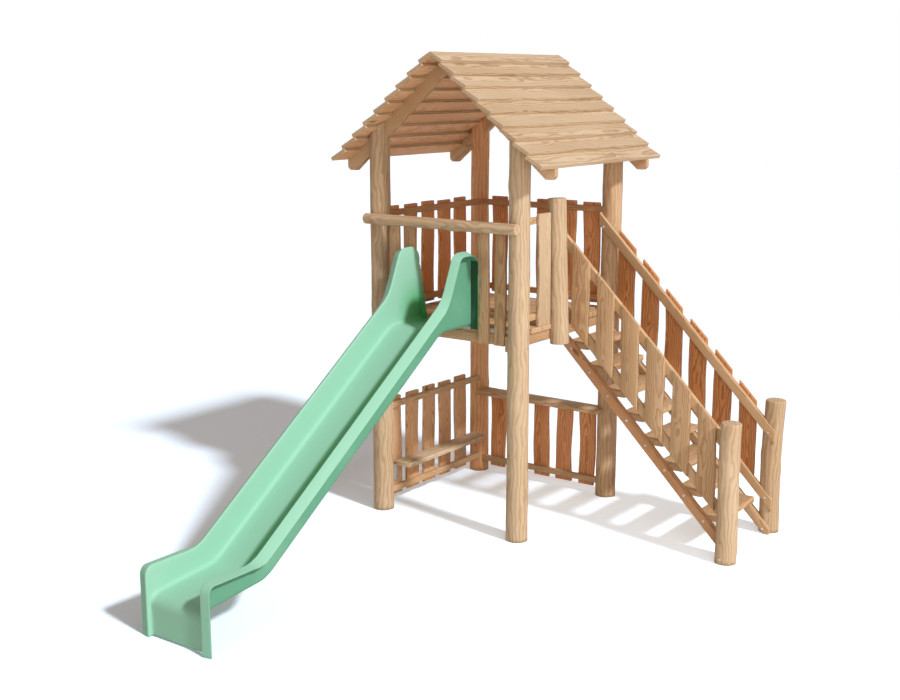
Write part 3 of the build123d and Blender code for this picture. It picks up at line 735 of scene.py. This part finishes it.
def slideSection(crest, crestNormal, floor, droop):
    # one half of the trough's section, from the rim's outer edge to the middle line
    s = slideShape
    wall, lip, r = s["wall"], s["outer"] - s["crest"], s["lipRound"]
    points = []
    for u in s["lipShares"]:
        out = 1 - u
        points.append(Vector((s["crest"] + lip * out, 0, 0)) + crest - crestNormal * droop * out ** s["lipFall"])
    for a in map(math.radians, (90, 60, 30, 0)):
        points.append(Vector((wall + r * (1 - math.cos(a)), 0, 0)) + crest - crestNormal * (r * (1 - math.sin(a))))
    fillet = min(s["fillet"], s["filletMost"] * (floor - crest).length)
    rise = (crest - floor).normalized()
    top, foot = crest - crestNormal * r, floor + rise * fillet
    for v in s["wallShares"]:
        points.append(Vector((wall, 0, 0)) + top.lerp(foot, v))
    for a in map(math.radians, (0, 18, 36, 54, 72, 90)):
        points.append(Vector((wall - fillet * (1 - math.cos(a)), 0, 0)) + floor + rise * (fillet * (1 - math.sin(a))))
    for share in s["floorShares"]:
        points.append(Vector(((wall - fillet) * share, 0, 0)) + floor)
    return points


def slideStations(crestPath, floorPath):
    # matching places on the crest and on the floor, spaced evenly between the bends
    s = slideShape
    for part, steps in enumerate(s["steps"]):
        c0, c1 = (crestPath[2][s["crestKeys"][part + k]] for k in (0, 1))
        f0, f1 = (floorPath[2][s["floorKeys"][part + k]] for k in (0, 1))
        for k in range(steps + (part == len(s["steps"]) - 1)):
            yield c0 + (c1 - c0) * k / steps, f0 + (f1 - f0) * k / steps


def layTrough(bm):
    s = slideShape
    crestPath = roundedLine(s["crestLine"], s["crestRadii"])
    floorPath = roundedLine(s["floorLine"], s["floorRadii"])
    rows = []
    for crestAt, floorAt in slideStations(crestPath, floorPath):
        crest, floor = alongLine(crestPath, crestAt), alongLine(floorPath, floorAt)
        heading = smoothTangent(crestPath, crestAt)
        half = slideSection(crest, Vector((0, -heading.z, heading.y)), floor, droopAt(crestPath, crestAt))
        left = [Vector((s["middle"] - p.x, p.y, p.z)) for p in half]
        right = [Vector((s["middle"] + p.x, p.y, p.z)) for p in half[:-1]]
        rows.append([bm.verts.new(p) for p in left + right[::-1]])
    for first, second in zip(rows, rows[1:]):
        joinRows(bm, first, second)
    return rows[-1]


def closeSlideEnd(bm, lastRow):
    s = slideShape
    # the rim goes on down as a flange on each side, to below the deck's edge
    for upper in (lastRow[:s["flangePoints"]], lastRow[-s["flangePoints"]:]):
        for k in range(1, s["flangeSteps"] + 1):
            height = s["bend"] + (s["flangeLow"] - s["bend"]) * k / s["flangeSteps"]
            lower = [bm.verts.new((vert.co.x, vert.co.y, height)) for vert in upper]
            joinRows(bm, upper, lower)
            upper = lower
    # behind the flange each cheek slants down to the end of the tongue on the deck
    steps, frontY, backY = s["cheekSteps"], s["rear"] - s["cheekFront"], s["rear"] + s["cheekBack"]
    for side in (-1, 1):
        x = s["middle"] + side * s["wall"]
        front = [bm.verts.new((x, frontY, s["bend"] + (s["deck"] - s["bend"]) * k / steps)) for k in range(steps + 1)]
        back = [bm.verts.new((x, backY + (s["tongue"] - s["rear"] - s["cheekBack"]) * k / steps, vert.co.z))
                for k, vert in enumerate(front)]
        for k in range(steps):
            quad = (front[k], back[k], back[k + 1], front[k + 1])
            bm.faces.new(quad if side > 0 else quad[::-1])
    tongue = [[bm.verts.new((s["middle"] + x, y, s["deck"])) for x in s["tongueAcross"]]
              for y in (s["rear"], s["tongue"])]
    joinRows(bm, *tongue)


def thickened(sheet):
    holder = bpy.data.objects.new(sheet.name, sheet)
    scene.collection.objects.link(holder)
    shell = holder.modifiers.new("wall", "SOLIDIFY")
    shell.thickness = slideShape["shell"]
    shell.offset = -1.0
    shell.use_even_offset = False
    mesh = bpy.data.meshes.new_from_object(holder.evaluated_get(bpy.context.evaluated_depsgraph_get()))
    bpy.data.objects.remove(holder)
    return mesh


slideShade = {  # where the slide's painted shade and its other tones lie; each pair is a start and the length of the change
    "rimBlend": 0.008, "rimTone": 0.22,  # the rims are a little deeper than the trough
    "floor": (-0.015, 0.035), "floorTone": 0.6, "centre": (0.05, 0.10), "centreEase": 0.35,
    "apron": (-2.48, 0.30), "wallSkin": 0.0005,
    "corner": (-0.30, 0.22), "cornerTop": (1.80, 0.15), "cornerTone": 0.8,
    "flangeBack": 0.012, "flangeTop": 1.97,
}


def shadeSlide(mesh, sheetCount):
    # the sheet's own vertices are the face that is slid on, the others the outside, which is painted a darker green
    # as shade
    s, tones = slideShape, slideShade
    outside = mesh.attributes.new("outside", "FLOAT", "POINT")
    paintedShade = mesh.attributes.new("paintedShade", "FLOAT", "POINT")

    def risen(value, place):
        return clamped((value - tones[place][0]) / tones[place][1])

    for index, vert in enumerate(mesh.vertices):
        vert.co.z = max(vert.co.z, 0.0)
        off = vert.co.x - s["middle"]
        if index < sheetCount:
            # painted shade: a deeper green on the shaded side of the floor, but not on the apron, and a painted
            # shadow beside the deck
            shade = tones["floorTone"] * risen(off, "floor") - tones["centreEase"] * risen(off, "centre")
            shade *= risen(vert.co.y, "apron")
            top, fade = tones["cornerTop"]
            corner = risen(vert.co.y, "corner") * clamped((top - vert.co.z) / fade)
            outside.data[index].value = tones["rimTone"] * clamped((abs(off) - s["crest"]) / tones["rimBlend"])
            paintedShade.data[index].value = max(shade if off < s["wall"] + tones["wallSkin"] else 0.0,
                                           tones["cornerTone"] * corner)
        else:
            # painted shade: the whole outside is a darker green
            outside.data[index].value = 1.0
            # painted shadow: the flange's back, below its top, gets the darkest green
            atBack = vert.co.y > s["rear"] - tones["flangeBack"] and abs(off) > s["wall"]
            paintedShade.data[index].value = 1.0 if atBack and vert.co.z < tones["flangeTop"] else 0.0


slideSheet = bmesh.new()
closeSlideEnd(slideSheet, layTrough(slideSheet))
sheetCount = len(slideSheet.verts)
slideMesh = thickened(finishMesh(slideSheet, "slide_sheet"))
shadeSlide(slideMesh, sheetCount)
slideMesh.name = "slide_moulding"
slidePiece = putMesh("slide_moulding", slideMesh, mouldedMint, ("slide",))
softenEdges(slidePiece, slideShape["edge"], slideShape["edgeAngle"], harden=False)
print("slide moulded")


for nodeName in ("bench_brackets", "deck_edge_strip"):
    mesh = finishMesh(cleanCopy(nodeName), nodeName + "_dressed")
    piece = putMesh(nodeName + "_dressed", mesh, galvanisedSteel, (nodeName,))
    softenEdges(piece, steelLook["edge"])

boltSize = {"head": 0.006, "headHigh": 0.005, "headSides": 6, "dome": 0.0012, "domeShare": 0.8,
            "washer": 0.009, "washerThick": 0.0015, "washerSides": 20}


def addDisc(bm, at, turn, radius, sides, low, high, dome=0.0):
    # a flat disc, or with a dome a head whose top edge draws in
    rings = []
    angles = [math.tau * k / sides for k in range(sides)]
    topRadius = radius * (boltSize["domeShare"] if dome else 1.0)
    for level, size in ((low, radius), (high - dome, radius), (high, topRadius)):
        rings.append([bm.verts.new(at + turn[0] * level + size * (turn[1] * math.cos(a) + turn[2] * math.sin(a)))
                      for a in angles])
    for lower, upper in zip(rings, rings[1:]):
        joinRings(bm, lower, upper)
    bm.faces.new(rings[-1])
    bm.faces.new(rings[0][::-1])


def boltSet(name, places):
    size = boltSize
    bm = bmesh.new()
    for at, facing in places:
        at, turn = Vector(at), grainFrame(facing)
        addDisc(bm, at, turn, size["washer"], size["washerSides"], 0.0, size["washerThick"])
        addDisc(bm, at, turn, size["head"], size["headSides"], size["washerThick"],
                size["washerThick"] + size["headHigh"], size["dome"])
    bmesh.ops.recalc_face_normals(bm, faces=bm.faces)
    putMesh(name, finishMesh(bm, name), galvanisedSteel)


boltPlan = {  # x and z on the face that the bolt goes into, or x, y and z
    "stringerTop": (1.323, 1.310), "stringerCount": 8,
    "railsFar": ((1.201, 2.118), (2.564, 0.744), (2.563, 0.262)), "stringerFoot": (2.567, 0.036),
    "newelFoot": (2.582, 0.3875, 0.038), "newelFacing": (-0.1, -1, 0), "postSide": (1.2855, 0.0, 1.396),
}
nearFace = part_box("stair_stringer_near")[0].y
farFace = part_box("stair_stringer_far")[0].y
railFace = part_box("stair_rails_far")[0].y
towardsSlide = (0, -1, 0)
x, z = boltPlan["stringerTop"]
going, rise = stairSlope["going"], stairSlope["rise"]
nearPlaces = [(x + going * i, nearFace, z - rise * i) for i in range(boltPlan["stringerCount"])]
farPlaces = [(x, railFace, z) for x, z in boltPlan["railsFar"]]
x, z = boltPlan["stringerFoot"]
farPlaces.append((x, farFace, z))
boltSet("stringer_bolts_near", [(at, towardsSlide) for at in nearPlaces])
boltSet("stair_bolts_far", [(at, towardsSlide) for at in farPlaces])
boltSet("newel_foot_bolt", [(boltPlan["newelFoot"], boltPlan["newelFacing"])])
boltSet("post_side_nut", [(boltPlan["postSide"], alongX)])
print("steelwork fixed")


floorPlan = {
    "reach": 40.0, "below": -0.0005, "roughness": 0.9, "colour": (0.80, 0.80, 0.80), "seen": (1.0, 1.20, 1.46),
    # a painted glow, seen only by the camera, lightens the floor round the stair, so the shadow under the stair is a
    # good deal paler than the others
    "paintedGlowAt": (1.8, 1.3, 0.0), "paintedGlowReach": 3.2, "paintedGlow": ((0.0, 0.34), (0.38, 0.31), (0.85, 0.0)),
}


def floorMaterial():
    plan = floorPlan
    material, tree, shader = newMaterial("whiteFloor", {
        "Roughness": plan["roughness"], "Specular IOR Level": 0.0, "Emission Color": (1, 1, 1, 1)})
    cameraRay = addNode(tree, "ShaderNodeLightPath").outputs["Is Camera Ray"]
    colour = mixColour(tree, cameraRay, opaque(plan["colour"]), opaque(plan["seen"]))
    feed(tree, colour, shader.inputs["Base Color"])
    # painted light: a glow seen only by the camera, strongest round the stair
    away = addNode(tree, "ShaderNodeVectorMath", operation="DISTANCE")
    feed(tree, addNode(tree, "ShaderNodeTexCoord").outputs["Object"], away.inputs[0])
    away.inputs[1].default_value = plan["paintedGlowAt"]
    paintedGlow = rampNode(tree, mathNode(tree, "DIVIDE", away.outputs["Value"], plan["paintedGlowReach"]), plan["paintedGlow"])
    feed(tree, mathNode(tree, "MULTIPLY", cameraRay, paintedGlow), shader.inputs["Emission Strength"])
    return material


reach = floorPlan["reach"]
corners = [(-reach, -reach, 0), (reach, -reach, 0), (reach, reach, 0), (-reach, reach, 0)]
floorMesh = bpy.data.meshes.new("floor")
floorMesh.from_pydata(corners, [], [(0, 1, 2, 3)])
floorMesh.materials.append(floorMaterial())
floorPiece = bpy.data.objects.new("floor", floorMesh)
scene.collection.objects.link(floorPiece)
floorPiece.location.z = floorPlan["below"]

lightPlan = {
    "sunAzimuth": -10.0, "sunHeight": 40.0, "sunStrength": 2.95, "sunWidth": 5.0, "sunColour": (1.0, 0.98, 0.95),
    "fillAt": (4.6, -2.6, 2.4), "fillTo": (1.9, 1.2, 0.2), "fillPower": 66.0, "fillSize": 3.0,
    "fillColour": (1.0, 0.93, 0.83), "sky": 0.40, "skyColour": (1.0, 0.80, 0.65),
}


def buildWorld():
    # the sky lights the object with its own colour, and is plain white where it is seen or mirrored
    world = bpy.data.worlds.new("studio")
    scene.world = world
    world.use_nodes = True
    tree = world.node_tree
    skies = tree.nodes["Background"], addNode(tree, "ShaderNodeBackground")
    choose = addNode(tree, "ShaderNodeMixShader")
    for index, (sky, colour, strength) in enumerate(zip(
            skies, (lightPlan["skyColour"], (1, 1, 1)), (lightPlan["sky"], 1.0))):
        sky.inputs["Color"].default_value = opaque(colour)
        sky.inputs["Strength"].default_value = strength
        feed(tree, sky.outputs[0], choose.inputs[index + 1])
    rays = addNode(tree, "ShaderNodeLightPath").outputs
    seen = mathNode(tree, "MAXIMUM", rays["Is Camera Ray"], rays["Is Transmission Ray"])
    feed(tree, mathNode(tree, "MAXIMUM", seen, rays["Is Glossy Ray"]), choose.inputs[0])
    feed(tree, choose.outputs[0], tree.nodes["World Output"].inputs[0])


def placeLamp(name, kind, power, colour, toLamp):
    # toLamp is the direction from what is lit to the lamp
    lamp = bpy.data.lights.new(name, kind)
    lamp.energy = power
    lamp.color = colour
    holder = bpy.data.objects.new(name, lamp)
    holder.rotation_euler = toLamp.to_track_quat("Z", "Y").to_euler()
    scene.collection.objects.link(holder)
    return holder


buildWorld()
azimuth, height = math.radians(lightPlan["sunAzimuth"]), math.radians(lightPlan["sunHeight"])
toSun = Vector((math.cos(height) * math.cos(azimuth), math.cos(height) * math.sin(azimuth), math.sin(height)))
sun = placeLamp("sun", "SUN", lightPlan["sunStrength"], lightPlan["sunColour"], toSun)
sun.data.angle = math.radians(lightPlan["sunWidth"])
toFill = Vector(lightPlan["fillAt"]) - Vector(lightPlan["fillTo"])
fill = placeLamp("fill", "AREA", lightPlan["fillPower"], lightPlan["fillColour"], toFill)
fill.location = lightPlan["fillAt"]
fill.data.size = lightPlan["fillSize"]

cameraPlan = {"at": (5.9824, -7.3013, 3.1807), "pitch": 0.2045, "yaw": 0.6327, "roll": 0.0012,
              "lens": 51.706, "sensor": 36.0}
lens = bpy.data.cameras.new("camera")
lens.lens = cameraPlan["lens"]
lens.sensor_width = cameraPlan["sensor"]
camera = bpy.data.objects.new("camera", lens)
camera.location = cameraPlan["at"]
camera.rotation_euler = (math.pi / 2 - cameraPlan["pitch"], cameraPlan["roll"], cameraPlan["yaw"])
scene.collection.objects.link(camera)
scene.camera = camera

print("stage set")
